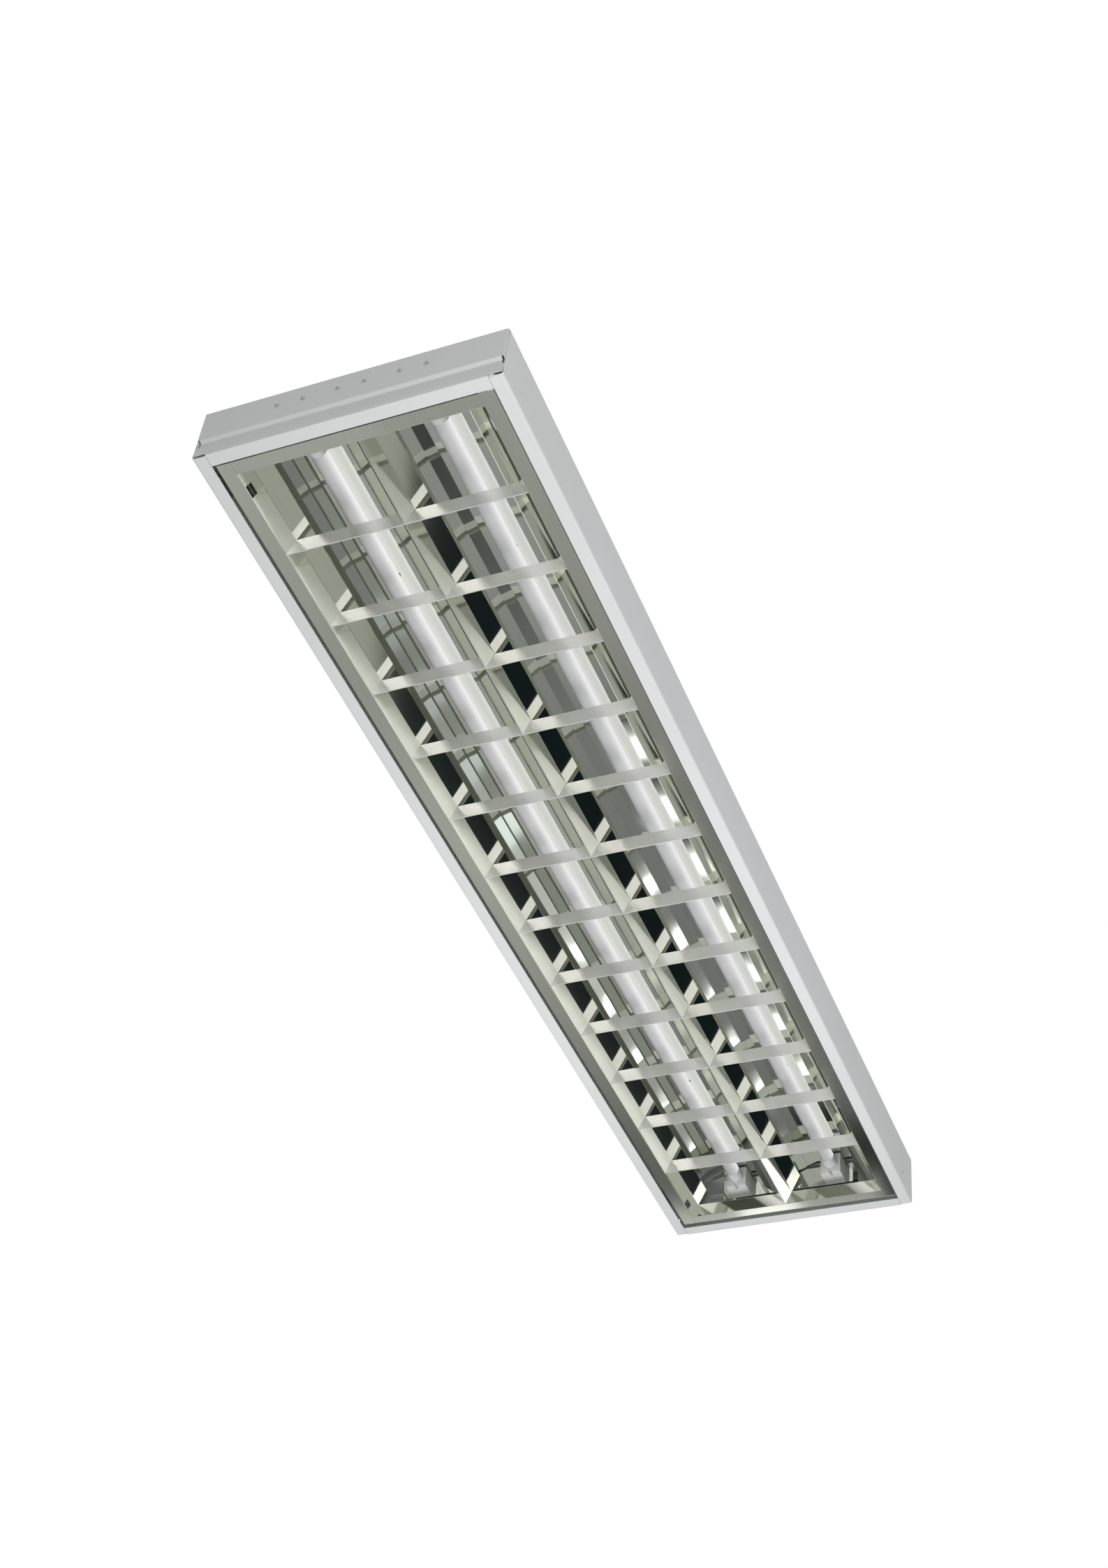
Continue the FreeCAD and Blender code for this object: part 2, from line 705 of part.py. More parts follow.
def make_lamp(side):
    name = "lamp_" + SIDE_NAMES[side]
    axis_y, axis_z = side * lamp_y, -d.lamp_z
    tube_half = lamp_face - d.tube_end_inset
    hollow_half = tube_half + d.tube_wall
    outside = rod_x(name + "_glass", (-tube_half, tube_half), axis_y, axis_z, d.tube_radius)
    inside = rod_x(name + "_hollow", (-hollow_half, hollow_half), axis_y, axis_z, d.tube_radius - d.tube_wall)
    node(cut(name + "_tube", outside, [inside]), name + "_tube")
    caps, pins, rotors = [], [], []
    for end in (NEAR, FAR):
        tag = name + "_" + END_NAMES[end]
        cap_span = mirrored(lamp_face - d.lamp_cap_length, lamp_face, end)
        shell = rod_x(tag + "_shell", cap_span, axis_y, axis_z, d.lamp_cap_radius)
        seat_span = mirrored(lamp_face - 2 * d.lamp_cap_length, tube_half + d.end_touch, end)
        seat = rod_x(tag + "_seat", seat_span, axis_y, axis_z, d.tube_radius + d.end_touch)
        caps.append(cut(tag + "_cap", shell, [seat]))
        pin_span = mirrored(lamp_face, lamp_face + d.pin_length, end)
        for sign in (1, -1):
            pin_y = axis_y + sign * d.pin_half_pitch
            pins.append(rod_x("%s_pin_%d" % (tag, sign + 1), pin_span, pin_y, axis_z, d.pin_radius))
        front = holder_face + d.rotor_face_gap
        back = holder_face + d.holder_bore_depth - d.rotor_face_gap
        rotor_span = mirrored(front, back, end)
        disc = rod_x(tag + "_disc", rotor_span, axis_y, axis_z, d.holder_bore_radius - d.rotor_gap)
        slot_span = mirrored(front - 1, front + d.rotor_slot_depth, end)
        slot_across = (axis_y - d.holder_bore_radius, axis_y + d.holder_bore_radius)
        slot = box(tag + "_rotor_slot", slot_span, slot_across,
                   (axis_z - d.rotor_slot / 2, axis_z + d.rotor_slot / 2))
        rotors.append(cut(tag + "_rotor", disc, [slot]))
    node(group(name + "_caps", caps), name + "_caps")
    node(group(name + "_pins", pins), name + "_pins")
    node(group(name + "_rotors", rotors), name + "_rotors")


def make_reflector(side):
    """Mirror sheet over one lamp: flat above the tube, then three facets falling away on each side."""
    name = "reflector_" + SIDE_NAMES[side]
    ridge_z = mirror_mid_z + d.mirror_outer_slope * (lamp_y - d.mirror_ridge_gap - mirror_mid_half)
    outer_z = mirror_mid_z + d.mirror_outer_slope * (mirror_outer_y - lamp_y - mirror_mid_half)
    under = [
        (d.mirror_ridge_gap, -ridge_z),
        (lamp_y - mirror_mid_half, -mirror_mid_z),
        (lamp_y - mirror_inner_half, -mirror_inner_z),
        (lamp_y - d.mirror_flat_half, -d.mirror_flat_z),
        (lamp_y + d.mirror_flat_half, -d.mirror_flat_z),
        (lamp_y + mirror_inner_half, -mirror_inner_z),
        (lamp_y + mirror_mid_half, -mirror_mid_z),
        (mirror_outer_y, -outer_z),
    ]
    over = [(across, level + d.mirror_sheet) for across, level in reversed(under)]
    outline = [(side * across, level) for across, level in under + over]
    body = new_body(name + "_fold")
    pad(body, draw(body, "YZ_Plane", name + "_profile", [outline]), 2 * mirror_half_length)
    holes = []
    for number, x in enumerate((-stud_x, 0, stud_x)):
        through = (-2 * d.mirror_flat_z, 0)
        label = "%s_hole_%d" % (name, number)
        holes.append(rod_z(label, x, side * lamp_y, through, d.stud_radius + d.hole_gap))
    node(cut(name, body, holes), name)


def make_reflector_studs():
    studs = []
    for side in (LEFT, RIGHT):
        for number, x in enumerate((-stud_x, 0, stud_x)):
            tag = "stud_%s_%d" % (SIDE_NAMES[side], number)
            y = side * lamp_y
            head_z = -d.mirror_flat_z - d.stud_head_height
            collar = rod_z(tag + "_collar", x, y, (mirror_back_z, -d.body_wall), d.stud_collar_radius)
            shank = rod_z(tag + "_shank", x, y, (head_z, -d.body_wall), d.stud_radius)
            head = rod_z(tag + "_head", x, y, (head_z, -d.mirror_flat_z), d.stud_head_radius)
            studs.append(fuse(tag, [collar, shank, head]))
    node(group("reflector_studs", studs), "reflector_studs")


def ramp(low, high, share):
    """Size part of the way from low to high."""
    return low + (high - low) * share


def level_at(share):
    return louvre_low + d.louvre_depth * share


def side_trims():
    """Loops that take off what lies outside the sloping faces of the two side panels."""
    loops = []
    for side in (LEFT, RIGHT):
        low_y = panel_y - d.end_touch - d.panel_lean * PAST_FOOT
        high_y = panel_y - d.end_touch - d.panel_lean * PAST_TOP
        beyond = panel_y + 2 * d.panel_lean
        loops.append([
            (side * low_y, level_at(PAST_FOOT)), (side * high_y, level_at(PAST_TOP)),
            (side * beyond, level_at(PAST_TOP)), (side * beyond, level_at(PAST_FOOT)),
        ])
    return loops


def v_profile(edge, top, sheet):
    inner = level_at(0) + d.fold_height
    return [
        (-edge, louvre_low), (-top, louvre_high), (sheet - top, louvre_high), (0, inner),
        (top - sheet, louvre_high), (top, louvre_high), (edge, louvre_low),
    ]


def make_blade(number):
    name = "blade_%02d" % (number + 1)
    centre = first_blade + blade_pitch * number
    body = new_body(name)
    section = v_profile(d.blade_edge, d.blade_top, d.blade_sheet)
    profile = [(centre + across, level) for across, level in section]
    pad(body, draw(body, "XZ_Plane", name + "_profile", [profile]), 2 * panel_y)
    mid_half = ramp(d.spine_edge, d.spine_top, HALF_WAY) + d.lap_gap
    top_half = ramp(d.spine_edge, d.spine_top, PAST_TOP) + d.lap_gap
    above = level_at(PAST_TOP)
    lap = [(-mid_half, louvre_mid), (-top_half, above), (top_half, above), (mid_half, louvre_mid)]
    pocket(body, draw(body, "YZ_Plane", name + "_trim", [lap] + side_trims()))
    node(body, name)


def make_spine():
    """Middle of the louvre: a V between the lamps whose two faces flare out into wings above the blades."""
    name = "louvre_spine"
    body = new_body(name)
    bend_top = louvre_high + d.spine_sheet / 2
    wing_tip = d.spine_top + d.wing_reach
    right_half = [
        (d.spine_edge, louvre_low), (d.spine_top, louvre_high), (wing_tip, wing_tip_z),
        (wing_tip, wing_tip_top), (d.spine_top - d.spine_sheet, bend_top),
    ]
    left_half = [(-across, level) for across, level in reversed(right_half)]
    section = right_half + [(0, louvre_low + d.fold_height)] + left_half
    pad(body, draw(body, "YZ_Plane", name + "_profile", [section]), 2 * end_panel_x)
    ends = []
    for end in (NEAR, FAR):
        low_x = end_panel_x - d.end_touch - d.end_panel_lean * PAST_FOOT
        high_x = end_panel_x - d.end_touch - d.end_panel_lean * PAST_TOP
        beyond = louvre_half_length
        ends.append([
            (end * low_x, level_at(PAST_FOOT)), (end * high_x, level_at(PAST_TOP)),
            (end * beyond, level_at(PAST_TOP)), (end * beyond, level_at(PAST_FOOT)),
        ])
    pocket(body, draw(body, "XZ_Plane", name + "_ends", ends))
    low_half = ramp(d.blade_edge, d.blade_top, PAST_FOOT) + d.lap_gap
    mid_half = ramp(d.blade_edge, d.blade_top, HALF_WAY) + d.lap_gap
    mid = louvre_mid + d.lap_gap
    lap = [
        (first_blade - low_half, level_at(PAST_FOOT)), (first_blade - mid_half, mid),
        (first_blade + mid_half, mid), (first_blade + low_half, level_at(PAST_FOOT)),
    ]
    slot = pocket(body, draw(body, "XZ_Plane", name + "_lap", [lap]))
    row_of_slots = body.newObject("PartDesign::LinearPattern", name + "_laps")
    row_of_slots.Originals = [slot]
    row_of_slots.Direction = (origin_feature(body, "X_Axis"), [""])
    bind(row_of_slots, "Length", blade_pitch * (d.blade_count - 1))
    bind(row_of_slots, "Occurrences", d.blade_count)
    body.Tip = row_of_slots
    DOC.recompute()
    node(body, name)


def make_side_panel(side):
    """Long side of the louvre: turned-up edge, flange, sloping face and a wing above the blades."""
    name = "louvre_side_" + SIDE_NAMES[side]
    sheet = d.louvre_sheet
    wing_tip = panel_top_y - d.wing_reach
    profile = [
        (wing_tip, wing_tip_z), (panel_top_y, louvre_high), (panel_y, louvre_low),
        (louvre_half_width, louvre_low), (louvre_half_width, edge_top),
        (edge_inside, edge_top), (edge_inside, louvre_low + sheet),
        (panel_y + d.panel_sheet_run / 2, louvre_low + sheet),
        (panel_top_y + d.panel_sheet_run, louvre_high + sheet / 2), (wing_tip, wing_tip_top),
    ]
    body = new_body(name + "_fold")
    outline = [(side * across, level) for across, level in profile]
    pad(body, draw(body, "YZ_Plane", name + "_profile", [outline]), 2 * louvre_half_length)
    windows, ears, edge_cuts, eye_holes = [], [], [], []
    for end in (NEAR, FAR):
        tag = "%s_%s" % (name, END_NAMES[end])
        middle = end * corner_x
        windows.append(box(tag + "_window", (middle - d.window_half, middle + d.window_half),
                           mirrored(panel_y - 2 * d.panel_lean, panel_y, side),
                           (louvre_low + d.window_low, louvre_low + d.window_high)))
        if side == LEFT:
            notch = (middle - d.edge_notch_half, middle + d.edge_notch_half)
            edge_cuts.append(box(tag + "_notch", notch, (edge_inside - sheet, half_width),
                                 (louvre_low + 2 * sheet, edge_top + sheet)))
            for sign in (1, -1):
                near_face = d.hinge_eye_half + d.ear_gap
                span = mirrored(near_face, near_face + d.ear_sheet, sign)
                ears.append(box("%s_ear_%d" % (tag, sign + 1), (middle + span[0], middle + span[1]),
                                (hinge_y - d.ear_half, hinge_y + d.ear_half),
                                (louvre_low + sheet / 2, -ear_top_z)))
            reach = d.hinge_eye_half + 4 * d.ear_sheet
            eye_holes.append(rod_x(tag + "_eye_hole", (middle - reach, middle + reach), hinge_y, -hinge_z,
                                   d.pivot_radius + d.pivot_gap))
    panel = cut(name + "_open", body, windows + edge_cuts)
    if ears:
        panel = cut(name + "_eyes", fuse(name + "_ears", [panel] + ears), eye_holes)
    node(panel, name)


def make_end_panel(end):
    name = "louvre_end_" + END_NAMES[end]
    sheet = d.louvre_sheet
    far_edge = louvre_half_length
    profile = [
        (end_panel_x - d.end_panel_lean, louvre_high), (end_panel_x, louvre_low),
        (far_edge, louvre_low), (far_edge, edge_top),
        (far_edge - sheet, edge_top), (far_edge - sheet, louvre_low + sheet),
        (end_panel_x + sheet * 0.8, louvre_low + sheet),
        (end_panel_x - d.end_panel_lean + sheet, louvre_high),
    ]
    body = new_body(name)
    outline = [(end * along, level) for along, level in profile]
    pad(body, draw(body, "XZ_Plane", name + "_profile", [outline]), 2 * panel_y)
    pocket(body, draw(body, "YZ_Plane", name + "_trim", side_trims()))
    node(body, name)


def bracket_plate(tag, end, side, top, bottom):
    """Plate riveted to the inside of the side wall, with its rivet hole."""
    middle = end * (corner_x + d.plate_shift)
    plate = box(tag + "_plate", (middle - d.plate_half, middle + d.plate_half),
                mirrored(plate_inside, flange_inside, side), (-bottom, -top))
    low, high = plate_inside - d.plate_sheet, flange_inside + d.plate_sheet
    hole = rivet_hole(tag + "_rivet_hole", "y", side, wall_rivet_point(end), low, high)
    return cut(tag + "_drilled", plate, [hole])


def make_hinge_bracket(end):
    name = "hinge_bracket_" + END_NAMES[end]
    middle = end * corner_x
    sheet = d.plate_sheet
    plate = bracket_plate(name, end, LEFT, hinge_plate_top, hinge_plate_bottom)
    arm_body = new_body(name + "_arm")
    low = -hinge_z + d.pivot_radius + d.pivot_gap
    root_y = flange_inside - sheet / 2
    arm_top, arm_low = -hinge_arm_z, -hinge_arm_z - sheet
    inner, outer = hinge_y - sheet / 2, hinge_y + sheet / 2
    arm = [
        (root_y, arm_top), (inner, arm_top), (inner, low),
        (outer, low), (outer, arm_low), (root_y, arm_low),
    ]
    pad(arm_body, draw(arm_body, "YZ_Plane", name + "_arm_profile", [arm], middle), 2 * d.hinge_eye_half)
    span = (middle - d.hinge_eye_half, middle + d.hinge_eye_half)
    eye = rod_x(name + "_eye", span, hinge_y, -hinge_z, d.eye_radius)
    through = (middle - 2 * d.hinge_eye_half, middle + 2 * d.hinge_eye_half)
    hole = rod_x(name + "_hole", through, hinge_y, -hinge_z, d.pivot_radius)
    node(cut(name, fuse(name + "_whole", [plate, arm_body, eye]), [hole]), name)


def make_catch_bracket(end):
    name = "catch_bracket_" + END_NAMES[end]
    middle = end * corner_x
    plate = bracket_plate(name, end, RIGHT, catch_plate_top, catch_plate_bottom)
    pieces = [plate]
    inner = d.catch_half + d.ear_gap
    for sign in (1, -1):
        span = mirrored(inner, inner + d.plate_sheet, sign)
        pieces.append(box("%s_ear_%d" % (name, sign + 1), (middle + span[0], middle + span[1]),
                          (-plate_inside - d.plate_sheet / 2, d.catch_ear_reach - catch_y),
                          (-catch_z - d.catch_ear_half, -catch_z + d.catch_ear_half)))
    through = (middle - 2 * inner, middle + 2 * inner)
    hole = rod_x(name + "_hole", through, -catch_y, -catch_z, d.pivot_radius)
    node(cut(name, fuse(name + "_whole", pieces), [hole]), name)


def make_catch(end):
    """Spring catch: eye on the pin, leaf, bridge over the louvre edge, outer grip and inner finger."""
    name = "catch_" + END_NAMES[end]
    middle = end * corner_x
    sheet = d.catch_sheet
    body = new_body(name + "_leaf")
    out_face = catch_y + sheet / 2
    start_z = -catch_z - d.pivot_radius - d.pivot_gap - sheet / 4
    bridge = -catch_bridge_z
    leaf = [
        (out_face, start_z), (out_face, bridge - sheet), (catch_finger_y + sheet, bridge - sheet),
        (catch_finger_y + sheet, -catch_finger_z), (catch_finger_y, -catch_finger_z),
        (catch_finger_y, bridge), (out_face - sheet, bridge), (out_face - sheet, start_z),
    ]
    outline = [(-across, level) for across, level in leaf]
    pad(body, draw(body, "YZ_Plane", name + "_profile", [outline], middle), 2 * d.catch_half)
    along = (middle - d.catch_half, middle + d.catch_half)
    grip_y = louvre_half_width + d.catch_grip_gap
    grip_across = mirrored(grip_y, grip_y + sheet, RIGHT)
    grip = box(name + "_grip", along, grip_across, (-catch_grip_z, bridge - sheet / 2))
    eye = rod_x(name + "_eye", along, -catch_y, -catch_z, d.eye_radius)
    through = (middle - 2 * d.catch_half, middle + 2 * d.catch_half)
    hole = rod_x(name + "_hole", through, -catch_y, -catch_z, d.pivot_radius + d.pivot_gap)
    node(cut(name, fuse(name + "_whole", [body, grip, eye]), [hole]), name)


def make_pivot_pins():
    pins = []
    for end in (NEAR, FAR):
        middle = end * corner_x
        hinge_half = d.hinge_eye_half + d.ear_gap + 2 * d.ear_sheet
        catch_half = d.catch_half + d.ear_gap + 1.5 * d.plate_sheet
        hinge_span = (middle - hinge_half, middle + hinge_half)
        catch_span = (middle - catch_half, middle + catch_half)
        tag = "_pin_" + END_NAMES[end]
        pins.append(rod_x("hinge" + tag, hinge_span, hinge_y, -hinge_z, d.pivot_radius))
        pins.append(rod_x("catch" + tag, catch_span, -catch_y, -catch_z, d.pivot_radius))
    node(group("pivot_pins", pins), "pivot_pins")


def lead_holes(end):
    """Entries for the lamp leads, and at the far end for the supply leads, in one gear terminal."""
    spots = [(lead_inner_y, d.lead_z), (lead_outer_y, d.lead_z)]
    if end == FAR:
        spots += [(supply_live_y, d.supply_z), (supply_neutral_y, d.supply_z)]
    holes = []
    for number, (y, depth) in enumerate(spots):
        span = mirrored(gear_face - d.lead_entry_depth - d.lap_gap, gear_face + d.lead_radius, end)
        label = "gear_entry_%s_%d" % (END_NAMES[end], number)
        holes.append(rod_x(label, span, y, -depth, d.lead_radius + d.hole_gap))
    return holes


def make_control_gear():
    """Gear case as a rectangular tube with fixing tabs, closed at both ends by its terminal blocks."""
    across = (gear_y, gear_y + d.gear_width)
    top, sheet = -d.body_wall, d.gear_sheet
    low = top - d.gear_depth
    case = box("gear_box", (-d.gear_half_length, d.gear_half_length), across, (low, top))
    inside = (across[0] + sheet, across[1] - sheet)
    hollow = box("gear_hollow", (-gear_face, gear_face), inside, (low + sheet, top - sheet))
    tabs, holes, terminals, screws = [], [hollow], [], []
    for end in (NEAR, FAR):
        tag = "gear_" + END_NAMES[end]
        tab_span = mirrored(d.gear_half_length, d.gear_half_length + d.gear_tab, end)
        tabs.append(box(tag + "_tab", tab_span, across, (top - sheet, top)))
        screw_x = end * gear_screw_x
        holes.append(rod_z(tag + "_tab_hole", screw_x, gear_middle, (top - 2 * sheet, top + sheet),
                           d.screw_radius + d.hole_gap))
        plug_across = (inside[0] + d.hole_gap, inside[1] - d.hole_gap)
        plug_levels = (low + sheet + d.hole_gap, top - sheet - d.hole_gap)
        plug = box(tag + "_plug", mirrored(gear_face - d.gear_terminal_plug, gear_face, end),
                   plug_across, plug_levels)
        step = box(tag + "_step", mirrored(d.gear_half_length, gear_face + sheet, end), across,
                   (-d.gear_terminal_top, top))
        terminals.append(cut(tag + "_terminal", plug, lead_holes(end) + [step]))
        head_top = top - sheet
        head = rod_z(tag + "_screw_head", screw_x, gear_middle, (head_top - d.screw_head_height, head_top),
                     d.screw_head_radius)
        shank = rod_z(tag + "_screw_shank", screw_x, gear_middle,
                      (head_top - d.screw_head_height / 2, -d.screw_tip_gap), d.screw_radius)
        screws.append(fuse(tag + "_screw", [head, shank]))
    node(cut("gear_case", fuse("gear_folded", [case] + tabs), holes), "gear_case")
    node(group("gear_terminals", terminals), "gear_terminals")
    node(group("gear_screws", screws), "gear_screws")


def make_terminal_block():
    top = -d.body_wall
    low = top - d.block_depth
    block = box("block_body", (block_x, block_end), (block_y, block_y + d.block_width), (low, top))
    lug_z = top - d.earth_nut_height - d.lug_sheet / 2
    entries = [(supply_live_y, -d.supply_z), (supply_neutral_y, -d.supply_z), (earth_y, lug_z)]
    gear_side = (block_x - d.lead_radius, block_x + d.lead_entry_depth + d.lap_gap)
    mains_side = (block_end - d.block_entry, block_end + d.lead_radius)
    screw_x = block_x + d.block_length / 2
    tools, screws = [], []
    for number, (y, z) in enumerate(entries):
        tools.append(rod_x("block_entry_%d" % number, gear_side, y, z, d.lead_radius + d.hole_gap))
        tools.append(rod_x("block_mains_%d" % number, mains_side, y, z, d.lead_radius))
        well = (low - d.lap_gap, low + d.block_screw_height)
        tools.append(rod_z("block_well_%d" % number, screw_x, y, well, d.block_screw_radius + d.hole_gap))
        screws.append(rod_z("block_screw_%d" % number, screw_x, y, (low, low + d.block_screw_height),
                            d.block_screw_radius))
    node(cut("terminal_block", block, tools), "terminal_block")
    node(group("terminal_screws", screws), "terminal_screws")


def make_earth():
    """Earth stud with two nuts, and the lead whose lug they clamp."""
    top = -d.body_wall
    nut, ring = d.earth_nut_height, d.lug_sheet
    x, y = earth_x, earth_y
    lug_top = top - nut
    lug_low = lug_top - ring
    nut_low = lug_low - nut
    stud = rod_z("earth_bolt", x, y, (nut_low - ring, top), d.earth_stud_radius)
    upper = rod_z("earth_nut_upper", x, y, (lug_top, top), d.earth_nut_radius)
    lower = rod_z("earth_nut_lower", x, y, (nut_low, lug_low), d.earth_nut_radius)
    node(fuse("earth_stud", [stud, upper, lower]), "earth_stud")
    lug = rod_z("earth_lug", x, y, (lug_low, lug_top), d.lug_radius)
    wire_start = x + d.earth_stud_radius + d.lead_radius
    wire_span = (wire_start, block_x + d.lead_entry_depth)
    wire = rod_x("earth_wire", wire_span, y, lug_low + ring / 2, d.lead_radius)
    hole = rod_z("earth_lug_hole", x, y, (lug_low - ring, lug_top + ring), d.earth_stud_radius + d.hole_gap)
    room = d.earth_nut_radius + d.hole_gap
    below = rod_z("earth_room_below", x, y, (nut_low, lug_low), room)
    above = rod_z("earth_room_above", x, y, (lug_top, top), room)
    node(cut("earth_lead", fuse("earth_lug_lead", [lug, wire]), [hole, below, above]), "earth_lead")


def make_grommet():
    x, y = inlet_x, inlet_y
    low = -d.body_wall - d.inlet_flange_height
    sleeve = rod_z("inlet_sleeve", x, y, (low, 0), d.inlet_hole)
    flange = rod_z("inlet_flange_ring", x, y, (low, -d.body_wall), d.inlet_flange)
    bore = rod_z("inlet_bore_hole", x, y, (2 * low, -low), d.inlet_bore)
    node(cut("cable_grommet", fuse("inlet_ring", [sleeve, flange]), [bore]), "cable_grommet")


def lead_path(corners, bend):
    """Straight runs joined by tangent quarter bends, through points in millimetres."""
    edges = []
    start = corners[0]
    for here, after in zip(corners[1:-1], corners[2:]):
        arrive = (here - start).normalize()
        leave = (after - here).normalize()
        first = here - arrive * bend
        last = here + leave * bend
        centre = first + leave * bend
        middle = centre + (here - centre).normalize() * bend
        edges.append(Part.LineSegment(start, first).toShape())
        edges.append(Part.Arc(first, middle, last).toShape())
        start = last
    edges.append(Part.LineSegment(start, corners[-1]).toShape())
    return Part.Wire(edges)


def lead_solid(corners, radius, bend):
    path = lead_path(corners, bend)
    heading = (corners[1] - corners[0]).normalize()
    ring = Part.Wire([Part.Circle(corners[0], heading, radius).toShape()])
    return path.makePipeShell([ring], True, True)


def make_lamp_lead(end, side):
    """Lead from the control gear along the left wall, then across behind the bracket to a lampholder."""
    name = "lamp_lead_%s_%s" % (SIDE_NAMES[side], END_NAMES[end])
    run_y = lead_inner_y if side == LEFT else lead_outer_y
    lane = d.lead_inner_lane if side == LEFT else d.lead_outer_lane
    start_x = end * (gear_face - d.lead_entry_depth)
    lane_x = end * (half_length - lane)
    entry_y = side * lamp_y + d.lead_entry_y
    entry_x = end * (bracket_front - d.lead_entry_depth)
    corners = [(start_x, run_y), (lane_x, run_y), (lane_x, entry_y), (entry_x, entry_y)]
    points = [FreeCAD.Vector(x.value, y.value, -d.lead_z.value) for x, y in corners]
    lead = DOC.addObject("Part::Feature", name)
    lead.Shape = lead_solid(points, d.lead_radius.value, d.lead_bend.value)
    lead.Placement = FreeCAD.Placement()
    node(lead, name)


def make_supply_leads():
    leads = []
    start = gear_face - d.lead_entry_depth
    span = (start, block_x + d.lead_entry_depth)
    for name, y in (("live", supply_live_y), ("neutral", supply_neutral_y)):
        leads.append(rod_x("supply_" + name, span, y, -d.supply_z, d.lead_radius))
    node(group("supply_leads", leads), "supply_leads")


make_body_channel()
for end in (NEAR, FAR):
    make_end_cap(end)
    make_holder_bracket(end)
make_rivets()
for side in (LEFT, RIGHT):
    for end in (NEAR, FAR):
        make_lampholder(end, side)
    make_lamp(side)
    make_reflector(side)
make_reflector_studs()
for side in (LEFT, RIGHT):
    make_side_panel(side)
for end in (NEAR, FAR):
    make_end_panel(end)
make_spine()
for number in range(int(d.blade_count.value)):
    make_blade(number)
for end in (NEAR, FAR):
    make_hinge_bracket(end)
    make_catch_bracket(end)
    make_catch(end)
make_pivot_pins()
make_control_gear()
make_terminal_block()
make_earth()
make_grommet()
for side in (LEFT, RIGHT):
    for end in (NEAR, FAR):
        make_lamp_lead(end, side)
make_supply_leads()
DOC.recompute()

for obj in DOC.Objects:
    if "Invalid" in obj.State or "Error" in obj.State:
        raise RuntimeError("%s did not build: %s" % (obj.Label, obj.State))

os.makedirs("parts", exist_ok=True)
for obj in NODES:
    shape = obj.Shape
    if shape.isNull() or not shape.isValid() or not shape.Solids:
        raise RuntimeError("%s has no valid solid" % obj.Label)
    shape.exportStep("parts/%s.step" % obj.Label)
print("%d nodes written" % len(NODES))
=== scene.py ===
import bpy
from mathutils import Matrix, Vector

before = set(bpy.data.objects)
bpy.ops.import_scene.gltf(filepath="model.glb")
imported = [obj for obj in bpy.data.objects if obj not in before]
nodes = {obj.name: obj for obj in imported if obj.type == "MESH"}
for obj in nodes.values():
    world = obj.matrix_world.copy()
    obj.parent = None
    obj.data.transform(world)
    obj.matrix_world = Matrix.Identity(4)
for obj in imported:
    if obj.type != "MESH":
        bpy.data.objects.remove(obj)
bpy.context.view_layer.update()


# Shader helpers

# Nodes that give the normal of a face: in the frame of its piece, or in the room.
PIECE_NORMAL = "ShaderNodeTexCoord"
ROOM_NORMAL = "ShaderNodeNewGeometry"
UP = (0.0, 0.0, 1.0)


